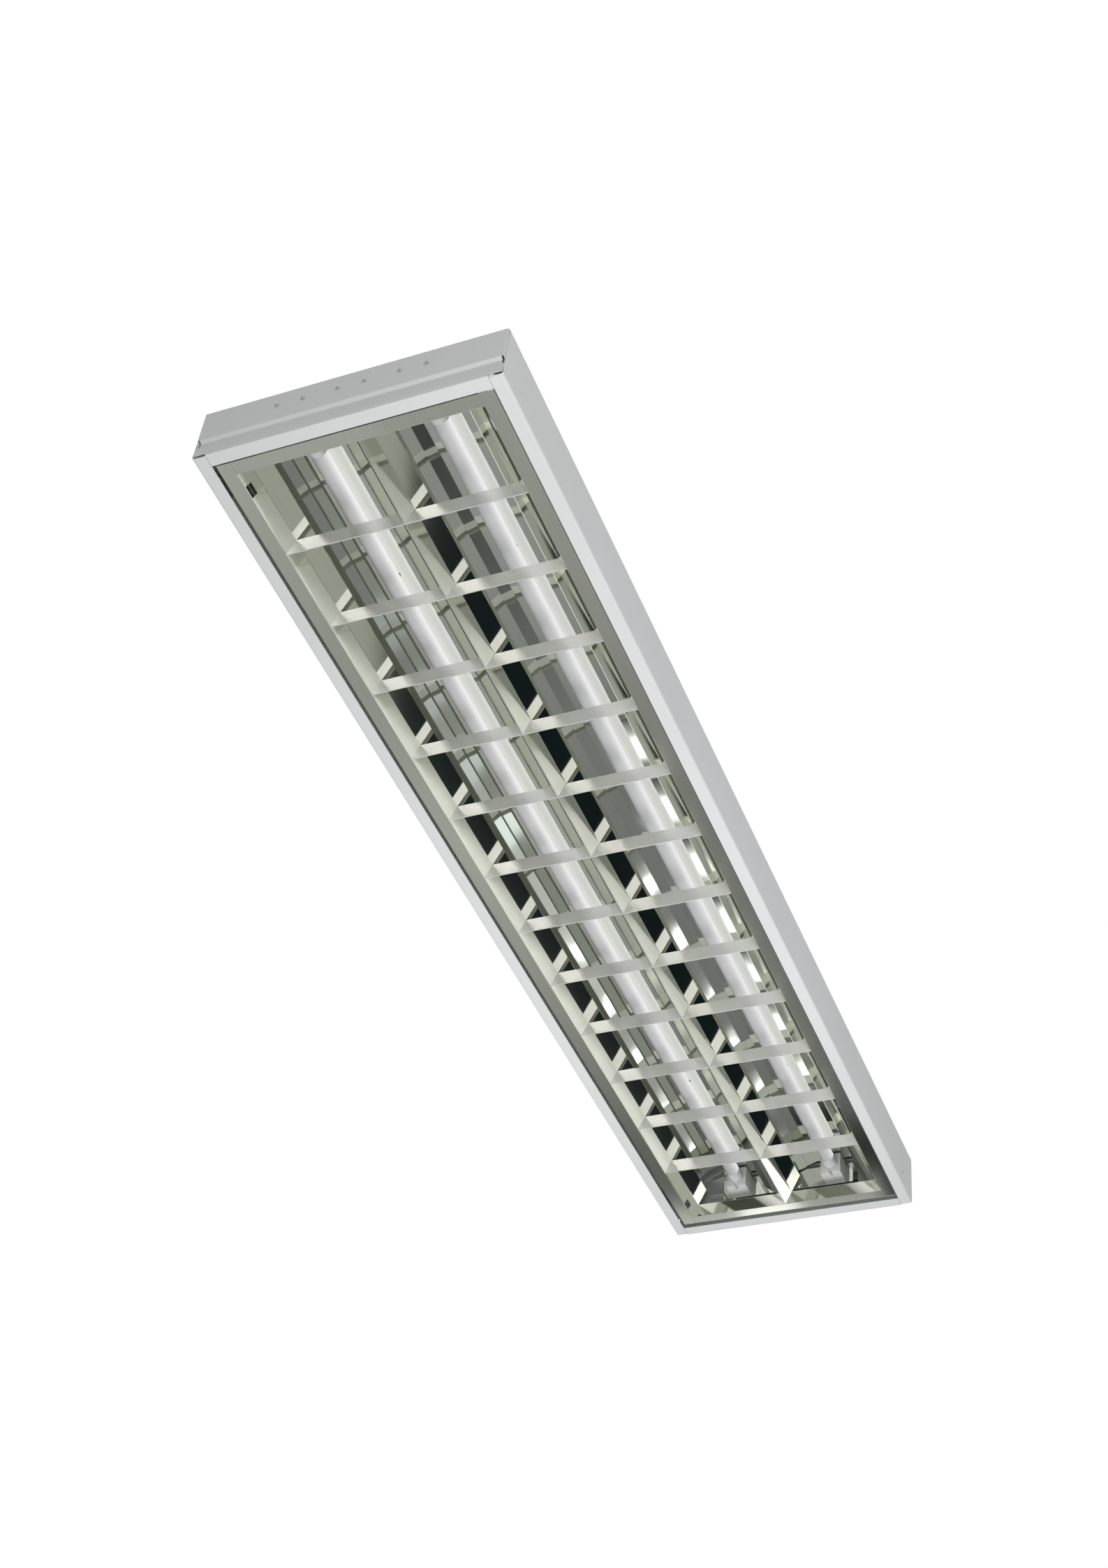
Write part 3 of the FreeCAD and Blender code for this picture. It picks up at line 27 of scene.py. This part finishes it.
class Shader:
    """A node material on object coordinates, which are metres in the part's frame."""

    def __init__(self, name):
        self.material = bpy.data.materials.new(name)
        self.material.use_nodes = True
        self.tree = self.material.node_tree
        self.main = self.tree.nodes["Principled BSDF"]
        self.place = self.add("ShaderNodeTexCoord").outputs["Object"]

    def add(self, kind, **values):
        node = self.tree.nodes.new(kind)
        for key, value in values.items():
            setattr(node, key, value)
        return node

    def link(self, source, target):
        self.tree.links.new(source, target)

    def set(self, **values):
        for key, value in values.items():
            self.main.inputs[key.replace("_", " ")].default_value = value

    def stretched(self, scale):
        mapping = self.add("ShaderNodeMapping")
        mapping.inputs["Scale"].default_value = scale
        self.link(self.place, mapping.inputs["Vector"])
        return mapping.outputs["Vector"]

    def noise(self, scale, detail=3.0, roughness=0.55, stretch=None):
        node = self.add("ShaderNodeTexNoise")
        node.inputs["Scale"].default_value = scale
        node.inputs["Detail"].default_value = detail
        node.inputs["Roughness"].default_value = roughness
        self.link(self.stretched(stretch) if stretch else self.place, node.inputs["Vector"])
        return node.outputs["Fac"]

    def ramp(self, factor, stops):
        node = self.add("ShaderNodeValToRGB")
        elements = node.color_ramp.elements
        while len(elements) < len(stops):
            elements.new(0.5)
        for element, (position, colour) in zip(elements, stops):
            element.position = position
            element.color = (*colour, 1.0)
        self.link(factor, node.inputs["Fac"])
        return node.outputs["Color"]

    def grey(self, factor, stops):
        return self.ramp(factor, [(position, (level, level, level)) for position, level in stops])

    def blend(self, factor, first, second):
        node = self.add("ShaderNodeMix", data_type="RGBA")
        self.link(factor, node.inputs["Factor"])
        self.link(first, node.inputs["A"])
        self.link(second, node.inputs["B"])
        return node.outputs["Result"]

    def spread(self, factor, low, high):
        node = self.add("ShaderNodeMapRange")
        node.inputs["To Min"].default_value = low
        node.inputs["To Max"].default_value = high
        self.link(factor, node.inputs["Value"])
        return node.outputs["Result"]

    def share(self, value, low, high=1.0):
        """The value as a share of the way from low to high."""
        node = self.add("ShaderNodeMapRange")
        node.inputs["From Min"].default_value = low
        node.inputs["From Max"].default_value = high
        self.link(value, node.inputs["Value"])
        return node.outputs["Result"]

    def facing(self, heading, source):
        """1 on a face that looks along the heading, 0 on one that looks the other way."""
        along = self.add("ShaderNodeVectorMath", operation="DOT_PRODUCT")
        self.link(self.add(source).outputs["Normal"], along.inputs[0])
        along.inputs[1].default_value = heading
        return self.share(along.outputs["Value"], -1.0)

    def bump(self, height, strength, distance, normal=None):
        node = self.add("ShaderNodeBump")
        node.inputs["Strength"].default_value = strength
        node.inputs["Distance"].default_value = distance
        self.link(height, node.inputs["Height"])
        if normal is not None:
            self.link(normal, node.inputs["Normal"])
        return node.outputs["Normal"]

    def soft_edges(self, radius):
        node = self.add("ShaderNodeBevel", samples=6)
        node.inputs["Radius"].default_value = radius
        return node.outputs["Normal"]

    def colour(self, socket):
        self.link(socket, self.main.inputs["Base Color"])

    def metallic(self, socket):
        self.link(socket, self.main.inputs["Metallic"])

    def rough(self, socket):
        self.link(socket, self.main.inputs["Roughness"])

    def normal(self, socket):
        self.link(socket, self.main.inputs["Normal"])


def two_tone(low, high):
    """Ramp stops for noise, which seldom leaves the range from 0.3 to 0.7."""
    return [(0.3, low), (0.7, high)]


def tones(colour, spread):
    low = tuple(channel * (1 - spread) for channel in colour)
    high = tuple(min(1.0, channel * (1 + spread)) for channel in colour)
    return two_tone(low, high)


# Kinds of material. Bump distances, edge radii and pitches are metres.

def painted(name, colour, spread=0.02, rough=(0.38, 0.5)):
    """Powder coat: faint cloudiness, fine orange peel, edges rounded by the coat."""
    s = Shader(name)
    s.colour(s.ramp(s.noise(scale=9.0, detail=4.0), tones(colour, spread)))
    s.rough(s.spread(s.noise(scale=60.0), *rough))
    peel = s.noise(scale=1400.0, detail=2.0)
    s.normal(s.bump(peel, strength=0.12, distance=0.0002, normal=s.soft_edges(radius=0.0008)))
    s.set(Specular_IOR_Level=0.45)
    return s.material


def metal(name, colour, rough, grain=(1.0, 60.0, 60.0)):
    """Sheet or turned metal with drawn grain in one direction."""
    s = Shader(name)
    s.set(Metallic=1.0)
    streaks = s.noise(scale=40.0, detail=4.0, roughness=0.6, stretch=grain)
    s.colour(s.ramp(streaks, tones(colour, spread=0.04)))
    s.rough(s.spread(streaks, *rough))
    s.normal(s.bump(streaks, strength=0.05, distance=0.0001, normal=s.soft_edges(radius=0.0003)))
    return s.material


def roll(s, colour, wave, normal=None):
    """Rolling marks along a sheet, over slow waves that bend what it mirrors."""
    marks = s.noise(scale=30.0, roughness=0.6, stretch=(0.6, 25.0, 25.0))
    waves = s.noise(scale=11.0, detail=2.0, roughness=0.4, stretch=(1.0, 2.0, 2.0))
    s.colour(s.ramp(marks, tones(colour, spread=0.03)))
    slow = s.bump(waves, strength=wave, distance=0.002, normal=normal)
    s.normal(s.bump(marks, strength=0.02, distance=0.0001, normal=slow))


def mirror(name, colour, rough, wave):
    """Polished rolled sheet."""
    s = Shader(name)
    s.set(Metallic=1.0)
    s.rough(s.spread(s.noise(scale=14.0, detail=4.0), *rough))
    roll(s, colour, wave)
    return s.material


def louvre_sheet(name, colour, rough, back_rough, wave):
    """Rolled louvre sheet: bright anodised below, matt mill finish on the back that looks up."""
    s = Shader(name)
    up = s.facing(UP, PIECE_NORMAL)
    s.metallic(s.grey(up, [(0.5, 1.0), (0.62, 0.25)]))
    s.rough(s.grey(up, [(0.5, rough), (0.62, back_rough)]))
    roll(s, colour, wave, s.soft_edges(radius=0.0005))
    return s.material


# The scale of a wave texture that has one band in a metre.
WAVE_SCALE = 0.314159


def ribbed(name, colour, back, rough, pitch):
    """Blade sheet, half bright outside and dull in the fold, with fine level ribs on both."""
    s = Shader(name)
    inside = s.facing(UP, PIECE_NORMAL)
    s.metallic(s.grey(inside, [(0.48, 0.5), (0.54, 0.0)]))
    cloud = s.noise(scale=35.0)
    bright = s.ramp(cloud, tones(colour, spread=0.05))
    dull = s.ramp(cloud, tones(back, spread=0.08))
    s.colour(s.blend(s.grey(inside, [(0.48, 0.0), (0.54, 1.0)]), bright, dull))
    s.rough(s.spread(cloud, *rough))
    rib = s.add("ShaderNodeTexWave", wave_type="BANDS", bands_direction="Z", wave_profile="SIN")
    rib.inputs["Scale"].default_value = WAVE_SCALE / pitch
    rib.inputs["Distortion"].default_value = 0.0
    s.link(s.place, rib.inputs["Vector"])
    s.normal(s.bump(rib.outputs["Fac"], strength=0.35, distance=0.00018))
    return s.material


def plastic(name, colour, rough, grain=900.0, specular=0.5):
    """Moulded plastic or rubber with a fine spark-eroded grain."""
    s = Shader(name)
    s.colour(s.ramp(s.noise(scale=70.0), tones(colour, spread=0.03)))
    s.rough(s.spread(s.noise(scale=220.0, detail=2.0), *rough))
    eroded = s.noise(scale=grain, detail=2.0)
    s.normal(s.bump(eroded, strength=0.08, distance=0.0002, normal=s.soft_edges(radius=0.0004)))
    s.set(Specular_IOR_Level=specular)
    return s.material


# The side of a tube that lies in the light of the mirrors, and the painted light, an emission ramp
# from the far side to it.
MIRROR_SIDE = (0.0, -0.7, 0.714)
PAINTED_TUBE_LIGHT = [
    (0.05, (0.03, 0.03, 0.03)), (0.3, (0.11, 0.11, 0.11)), (0.5, (0.3, 0.3, 0.3)),
    (0.7, (0.58, 0.57, 0.58)), (0.86, (0.76, 0.73, 0.76)), (1.0, (0.66, 0.64, 0.66)),
]


def coated_glass(name):
    """White coated tube under clear glass. It is not lit: its glow is painted light that stands in
    for light from the mirrors, so it follows the room and not the tube."""
    s = Shader(name)
    cloud = s.noise(scale=26.0, detail=4.0, roughness=0.6, stretch=(0.3, 1.0, 1.0))
    s.colour(s.ramp(cloud, two_tone((0.52, 0.52, 0.53), (0.56, 0.56, 0.57))))
    s.rough(s.spread(s.noise(scale=90.0, detail=2.0), 0.22, 0.3))
    s.normal(s.bump(s.noise(scale=60.0, detail=2.0), strength=0.03, distance=0.0003))
    s.set(Coat_Weight=0.4, Coat_Roughness=0.06, Emission_Strength=1.0)
    # Painted light: emission that is brighter on the side toward the mirrors, measured by the
    # room's normal.
    lit = s.ramp(s.facing(MIRROR_SIDE, ROOM_NORMAL), PAINTED_TUBE_LIGHT)
    s.link(lit, s.main.inputs["Emission Color"])
    return s.material


# Materials by node

TURNED = (20.0, 20.0, 20.0)
LEAD_GRAIN = 300.0
RIB_PITCH = 0.0016

LOOKS = {
    "paint": painted("body_paint", (0.80, 0.81, 0.82)),
    "rivet": metal("rivet_metal", (0.42, 0.43, 0.42), rough=(0.22, 0.34), grain=TURNED),
    "plated": metal("plated_steel", (0.58, 0.59, 0.60), rough=(0.28, 0.42)),
    "bright": metal("bright_steel", (0.66, 0.66, 0.67), rough=(0.18, 0.3)),
    "spring": metal("spring_steel", (0.46, 0.47, 0.48), rough=(0.22, 0.34)),
    "cap": painted("lamp_cap", (0.78, 0.79, 0.80), spread=0.03, rough=(0.3, 0.4)),
    "brass": metal("contact_brass", (0.74, 0.58, 0.28), rough=(0.22, 0.34)),
    "mirror": mirror("mirror_sheet", (0.80, 0.83, 0.77), rough=(0.03, 0.07), wave=0.1),
    "louvre": louvre_sheet("louvre_mirror", (0.84, 0.86, 0.78), rough=0.07, back_rough=0.5,
                           wave=0.03),
    "blade": ribbed("blade_metal", (0.90, 0.90, 0.88), back=(0.92, 0.92, 0.89),
                    rough=(0.1, 0.17), pitch=RIB_PITCH),
    "holder": plastic("holder_plastic", (0.84, 0.84, 0.82), rough=(0.42, 0.55)),
    "terminal": plastic("terminal_plastic", (0.80, 0.80, 0.77), rough=(0.28, 0.4)),
    "gear": painted("gear_paint", (0.70, 0.71, 0.71), spread=0.03),
    "lead_white": plastic("lead_white", (0.80, 0.80, 0.77), rough=(0.4, 0.5), grain=LEAD_GRAIN),
    "lead_earth": plastic("lead_earth", (0.28, 0.46, 0.10), rough=(0.4, 0.5), grain=LEAD_GRAIN),
    "lead_supply": plastic("lead_supply", (0.16, 0.14, 0.20), rough=(0.4, 0.5), grain=LEAD_GRAIN),
    "rubber": plastic("grommet_rubber", (0.035, 0.035, 0.036), rough=(0.6, 0.75), specular=0.3),
    "glass": coated_glass("lamp_glass"),
}

# The first start of a name that fits gives the look, so the longer starts stand first.
NODE_LOOKS = [
    ("end_cap", "paint"), ("body_channel", "paint"),
    ("end_rivets", "rivet"), ("wall_rivets", "paint"), ("reflector_studs", "rivet"),
    ("holder_bracket", "mirror"), ("hinge_bracket", "plated"), ("catch_bracket", "plated"),
    ("catch_", "spring"), ("pivot_pins", "bright"),
    ("gear_screws", "bright"), ("terminal_screws", "bright"),
    ("lampholder", "holder"), ("lamp_lead", "lead_white"),
    ("lamp_left_tube", "glass"), ("lamp_right_tube", "glass"),
    ("lamp_left_caps", "cap"), ("lamp_right_caps", "cap"),
    ("lamp_left_pins", "brass"), ("lamp_right_pins", "brass"),
    ("lamp_left_rotors", "holder"), ("lamp_right_rotors", "holder"),
    ("reflector_", "mirror"), ("louvre_", "louvre"), ("blade_", "blade"),
    ("gear_case", "gear"), ("gear_terminals", "terminal"), ("terminal_block", "terminal"),
    ("earth_stud", "brass"), ("earth_lead", "lead_earth"), ("supply_leads", "lead_supply"),
    ("cable_grommet", "rubber"),
]


def look_of(name):
    for start, look in NODE_LOOKS:
        if name.startswith(start):
            return LOOKS[look]
    raise ValueError(name)


for name, obj in nodes.items():
    obj.data.materials.clear()
    obj.data.materials.append(look_of(name))


# Camera, fitted to the corners of the body in the photograph

CAMERA_PLACE = Vector((-1.56637, -0.72347, -1.56422))
CAMERA_TURN = Vector((0.7622, -0.40249, 1.15607))
FOCAL_PIXELS = 3247.9
PHOTO_HEIGHT_PIXELS = 2245.0
SENSOR_WIDTH = 36.0
CLIP_END = 60.0


def place_camera():
    data = bpy.data.cameras.new("camera")
    camera = bpy.data.objects.new("camera", data)
    bpy.context.scene.collection.objects.link(camera)
    to_view = Matrix.Rotation(CAMERA_TURN.length, 3, CAMERA_TURN.normalized())
    right, down, ahead = to_view[0], to_view[1], to_view[2]
    axes = Matrix((right, -down, -ahead)).transposed()
    camera.matrix_world = Matrix.Translation(CAMERA_PLACE) @ axes.to_4x4()
    data.sensor_fit = "AUTO"
    data.sensor_width = SENSOR_WIDTH
    data.lens = SENSOR_WIDTH * FOCAL_PIXELS / PHOTO_HEIGHT_PIXELS
    data.clip_end = CLIP_END
    bpy.context.scene.camera = camera


place_camera()


# Studio: a floor, and level cards over it that only mirrors see. The cards stand in for the room
# of the photograph: each lies where the mirrors of the louvre look, seen from the camera.

FLOOR = -3.6
FLOOR_REACH = 40
CARD_LEVEL = -2.39
SPOT_LIFT = 0.005
SPINE_LIFT = 0.002
TAB_LIFT = -0.003
CORNER_TOP = -0.3
# One blade cell, as the mirrors throw it on the cards.
CELL = 0.228
# A card from this strength on is sampled as a light, or its images would speckle.
SAMPLED_STRENGTH = 2.0
WHITE = (1.0, 1.0, 1.0)
BLACK = (0.006, 0.010, 0.011)


def flat(name, corners, material):
    mesh = bpy.data.meshes.new(name)
    mesh.from_pydata(corners, [], [(0, 1, 2, 3)])
    obj = bpy.data.objects.new(name, mesh)
    bpy.context.scene.collection.objects.link(obj)
    obj.data.materials.append(material)
    return obj


def floor_material():
    s = Shader("studio_floor")
    s.colour(s.ramp(s.noise(scale=1.3), two_tone((0.78, 0.79, 0.76), (0.79, 0.80, 0.77))))
    s.set(Roughness=0.9, Specular_IOR_Level=0.0)
    return s.material


def glow(name, colour, strength=1.0):
    material = bpy.data.materials.new(name)
    material.use_nodes = True
    tree = material.node_tree
    tree.nodes.clear()
    shine = tree.nodes.new("ShaderNodeEmission")
    shine.inputs["Color"].default_value = (*colour, 1.0)
    shine.inputs["Strength"].default_value = strength
    out = tree.nodes.new("ShaderNodeOutputMaterial")
    tree.links.new(shine.outputs["Emission"], out.inputs["Surface"])
    if strength < SAMPLED_STRENGTH:
        material.cycles.emission_sampling = "NONE"
    return material


def graded(name, stops):
    """Glow that changes along X: stops are (x in metres, grey level)."""
    s = Shader(name)
    s.tree.nodes.remove(s.main)
    along = s.add("ShaderNodeSeparateXYZ")
    s.link(s.place, along.inputs["Vector"])
    start, stop = stops[0][0], stops[-1][0]
    tints = [((x - start) / (stop - start), (grey * 0.99, grey, grey * 0.97)) for x, grey in stops]
    shine = s.add("ShaderNodeEmission")
    s.link(s.ramp(s.share(along.outputs["X"], start, stop), tints), shine.inputs["Color"])
    s.link(shine.outputs["Emission"], s.tree.nodes["Material Output"].inputs["Surface"])
    s.material.cycles.emission_sampling = "NONE"
    return s.material


def mirror_only(obj):
    obj.visible_camera = False
    obj.visible_diffuse = False
    obj.visible_shadow = False


def span(x, y):
    return [(x[0], y[0]), (x[1], y[0]), (x[1], y[1]), (x[0], y[1])]


def at_level(spots, level):
    return [(x, y, level) for x, y in spots]


def card(name, spots, material, lift=0.0):
    mirror_only(flat(name, at_level(spots, CARD_LEVEL + lift), material))


def plain_card(name, x, y, colour, strength=1.0, lift=0.0):
    card(name, span(x, y), glow(name, colour, strength), lift)


def graded_card(name, x, y, stops):
    card(name, span(x, y), graded(name, stops))


def cell_cards(cell, first, pitch, cards):
    """Small cards of one cell: each is (name, its x after the cell's place, its y, material)."""
    place = first + pitch * cell
    for name, (start, stop), y, material in cards:
        card("%s_%d" % (name, cell), span((place + start, place + stop), y), material, SPOT_LIFT)


def card_row(cells, first, pitch, cards):
    for cell in range(cells):
        cell_cards(cell, first, pitch, cards)


reach = (-FLOOR_REACH, FLOOR_REACH)
flat("floor", at_level(span(reach, reach), FLOOR), floor_material())
dark = glow("dark_card", BLACK)
warm = glow("warm_card", (1.0, 0.95, 0.94), 1.3)
spot = glow("spot_card", WHITE, 3.0)

# Large cards: what the flanges, the far end, the mirror strips and the side panels show.
card("dark_card_right", [(1.0, -2.4), (1.0, -9), (9, -9), (1.88, -1.55)], dark)
card("dark_card_back", [(1.88, -1.55), (9, -9), (9, -5), (9, -1.55)], dark)
graded_card("flange_card_right", (0.6, 3.86), (0.55, 1.07),
            [(0.6, 0.35), (0.95, 0.33), (1.6, 0.29), (2.2, 0.175), (2.9, 0.16), (3.5, 0.12),
             (3.63, 0.02), (3.86, 0.012)])
card("flange_card_end", span((3.86, 4.1), (0.55, 0.82)), dark)
graded_card("flange_card_left", (0.6, 3.86), (1.07, 1.7),
            [(0.6, 0.4), (0.95, 0.38), (1.6, 0.31), (2.2, 0.4), (2.9, 0.28), (3.5, 0.14),
             (3.86, 0.1)])
plain_card("end_card", (3.88, 4.1), (1.09, 1.27), (0.97, 1.0, 1.0), 1.35)
plain_card("end_card_left", (3.88, 4.1), (1.27, 1.5), (0.53, 0.54, 0.52))
plain_card("end_card_right", (3.88, 4.1), (0.82, 1.09), (0.40, 0.42, 0.40))
graded_card("trough_card_dark", (0.4, 4.4), (-0.08, 0.25),
            [(0.4, 0.055), (0.95, 0.06), (1.3, 0.11), (1.85, 0.2), (4.4, 0.16)])
graded_card("trough_card_left", (0.4, 4.2), (-0.76, -0.42),
            [(0.4, 0.2), (1.5, 0.22), (2.1, 0.5), (2.65, 0.6), (2.9, 0.34), (4.2, 0.25)])
plain_card("trough_card_mid", (0.4, 4.2), (0.27, 0.55), (0.25, 0.262, 0.24))
card("panel_card", [(0.9, -2.35), (0.9, -1.55), (1.88, -1.55), (1.0, -2.4)],
     glow("panel_card", (0.34, 0.35, 0.31)))
graded_card("trough_card_right", (0.4, 3.6), (-1.0, -0.78),
            [(0.4, 0.3), (1.3, 0.28), (2.3, 0.19), (3.6, 0.15)])

# What the blades show, and their images in the mirror strips.
plain_card("tab_card", (-2.2, -0.5), (-0.92, 0.5), (0.25, 0.26, 0.23), lift=TAB_LIFT)
card("band_card", [(-0.8, -0.95), (-1.0, -0.7), (-5.2, -3.2), (-4.0, -4.1)], warm)
card("blade_card", span((-5.5, -3.2), (-1.5, -0.7)), warm)
plain_card("blade_card_mid", (-5.5, -3.2), (-0.7, 1.6), (1.0, 0.97, 0.96))
card("spot_card_band",
     [(-1.105, -0.955), (-1.157, -0.925), (-1.807, -2.051), (-1.755, -2.081)],
     glow("spot_card_band", WHITE, 8.0), SPOT_LIFT)
card("spot_card_blade",
     [(-2.861, -1.050), (-2.903, -0.958), (-4.771, -1.804), (-4.729, -1.896)],
     glow("spot_card_blade", WHITE, 12.0), SPOT_LIFT)

# Small cards that repeat from cell to cell: the sparkle, its shades and the light patches.
card_row(5, 2.435, 0.23, [
    ("spark_card_right", (0.0, 0.05), (-0.87, -0.82), spot),
    ("spark_card_left", (0.09, 0.14), (-0.6, -0.55), spot),
])
card("edge_card", span((1.45, 3.9), (-1.42, -1.12)), dark)
card_row(4, 2.73, 0.239, [("spark_card_edge", (-0.07, 0.0), (-1.36, -1.2), spot)])
card_row(7, 2.033, CELL, [
    ("spark_card_strip", (0.0, 0.07), (0.86, 0.96), spot),
    ("shade_card_strip", (-0.1, -0.05), (0.86, 0.96), dark),
])
card_row(4, 2.865, CELL, [
    ("spark_card_wing", (0.0, 0.035), (1.11, 1.16), spot),
    ("shade_card_wing", (-0.05, -0.01), (1.11, 1.16), dark),
])
for cell, strength in enumerate((0.4, 0.5, 0.65, 1.0)):
    patch = glow("patch_card_%d" % cell, (0.93, 1.0, 0.98), strength)
    cell_cards(cell, 1.319, CELL, [
        ("patch_card_left", (0.0, 0.11), (-0.76, -0.42), patch),
        ("patch_card_mid", (-0.075, 0.025), (0.27, 0.55), patch),
    ])
plain_card("spine_card", (0.98, 3.86), (1.095, 1.15), (0.98, 1.0, 0.97), 0.65, SPINE_LIFT)

# An upright card behind the camera, for the facets that look back at it.
foot = [(-7.2, -5.2), (-5.6, -7.6)]
mirror_only(flat("corner_card", at_level(foot, CARD_LEVEL) + at_level(foot[::-1], CORNER_TOP),
                 glow("corner_card", WHITE, 1.9)))


# Lights

def area(name, place, target, size, power, colour=WHITE):
    data = bpy.data.lights.new(name, "AREA")
    data.shape = "RECTANGLE"
    data.size, data.size_y = size
    data.energy = power
    data.color = colour
    light = bpy.data.objects.new(name, data)
    light.location = place
    light.rotation_euler = (Vector(target) - Vector(place)).to_track_quat("-Z", "Y").to_euler()
    light.visible_glossy = False
    light.visible_camera = False
    bpy.context.scene.collection.objects.link(light)


def overhead(name, place, strength, spread):
    """Wide soft light from far above, for the top and the floor."""
    data = bpy.data.lights.new(name, "SUN")
    data.energy = strength
    data.angle = spread
    light = bpy.data.objects.new(name, data)
    light.rotation_euler = (-Vector(place)).to_track_quat("-Z", "Y").to_euler()
    light.visible_glossy = False
    bpy.context.scene.collection.objects.link(light)


area("near_key", (-1.1, -0.5, -0.7), target=(-1.1, -0.5, 0.0), size=(0.5, 0.35), power=3.9)
area("far_key", (0.2, 0.05, -0.8), target=(0.2, 0.05, 0.0), size=(0.7, 0.4), power=2.5)
area("side_fill", (0.0, -0.5, -0.35), target=(0.0, -0.15, -0.04), size=(1.0, 0.3), power=0.85,
     colour=(0.92, 0.94, 1.0))
overhead("overhead", (0.35, 0.3, 0.89), strength=1.25, spread=0.8)


# World: white where the camera, mirrors or glass look past the studio, a dim even light elsewhere

ROOM_TINT = (0.99, 1.0, 0.99)
ROOM_STRENGTH = 0.25


def set_world():
    world = bpy.data.worlds.new("studio")
    bpy.context.scene.world = world
    world.use_nodes = True
    tree = world.node_tree
    tree.nodes.clear()

    def either(first, second):
        node = tree.nodes.new("ShaderNodeMath")
        node.operation = "MAXIMUM"
        tree.links.new(first, node.inputs[0])
        tree.links.new(second, node.inputs[1])
        return node.outputs["Value"]

    def background(colour, strength):
        node = tree.nodes.new("ShaderNodeBackground")
        node.inputs["Color"].default_value = (*colour, 1.0)
        node.inputs["Strength"].default_value = strength
        return node.outputs["Background"]

    path = tree.nodes.new("ShaderNodeLightPath").outputs
    seen = either(path["Is Camera Ray"], path["Is Glossy Ray"])
    mix = tree.nodes.new("ShaderNodeMixShader")
    tree.links.new(either(seen, path["Is Transmission Ray"]), mix.inputs["Fac"])
    tree.links.new(background(ROOM_TINT, ROOM_STRENGTH), mix.inputs[1])
    tree.links.new(background(WHITE, 1.0), mix.inputs[2])
    out = tree.nodes.new("ShaderNodeOutputWorld")
    tree.links.new(mix.outputs["Shader"], out.inputs["Surface"])


set_world()
bpy.context.scene.view_settings.view_transform = "Standard"
